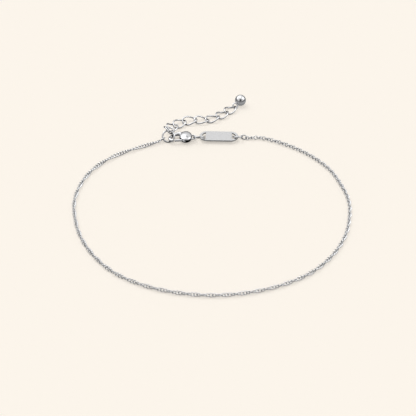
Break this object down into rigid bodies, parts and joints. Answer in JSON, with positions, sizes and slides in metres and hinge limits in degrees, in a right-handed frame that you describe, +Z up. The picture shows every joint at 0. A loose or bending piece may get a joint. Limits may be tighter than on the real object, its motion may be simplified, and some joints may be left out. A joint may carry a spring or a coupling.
{
  "type": "anklet",
  "caption": "Fine twisted silver ankle chain with a lobster clasp, a bare bar tag and a curb-link extender that ends in a ball.",
  "frame": {"origin": "on the table, under the middle of the whole piece's bounding box", "axes": "+Z up from the table and along the ankle, +Y from the loop's front towards the extender, +X along the tag to the right"},
  "size_m": [0.0706, 0.0866, 0.0033],
  "materials": {
    "chain_silver": "polished silver, many small facets",
    "polished_silver": "polished silver",
    "tag_silver": "satin silver",
    "wire_silver": "polished silver wire"
  },
  "bodies": {
    "anklet": {"chain_end_link_left": "wire_silver", "chain_end_link_right": "wire_silver", "clasp_body": "polished_silver", "clasp_ring": "wire_silver", "clasp_rivet": "polished_silver", "end_ball": "polished_silver", "extender_link_1": "wire_silver", "extender_link_2": "wire_silver", "extender_link_3": "wire_silver", "extender_link_4": "wire_silver", "extender_link_5": "wire_silver", "extender_link_6": "wire_silver", "extender_link_7": "wire_silver", "extender_link_8": "wire_silver", "main_chain": "chain_silver", "tag": "tag_silver", "tag_ring_left": "wire_silver", "tag_ring_right": "wire_silver"},
    "lever": {"clasp_lever": "polished_silver"}
  },
  "joints": [
    {"name": "lever_hinge", "type": "hinge", "parent": "anklet", "child": "lever", "pos_m": [-0.00654, 0.0232, 0.00102], "axis": [0, 0, -1], "range_deg": [0, 14], "stiffness_Nm_per_rad": 0.01}
  ]
}
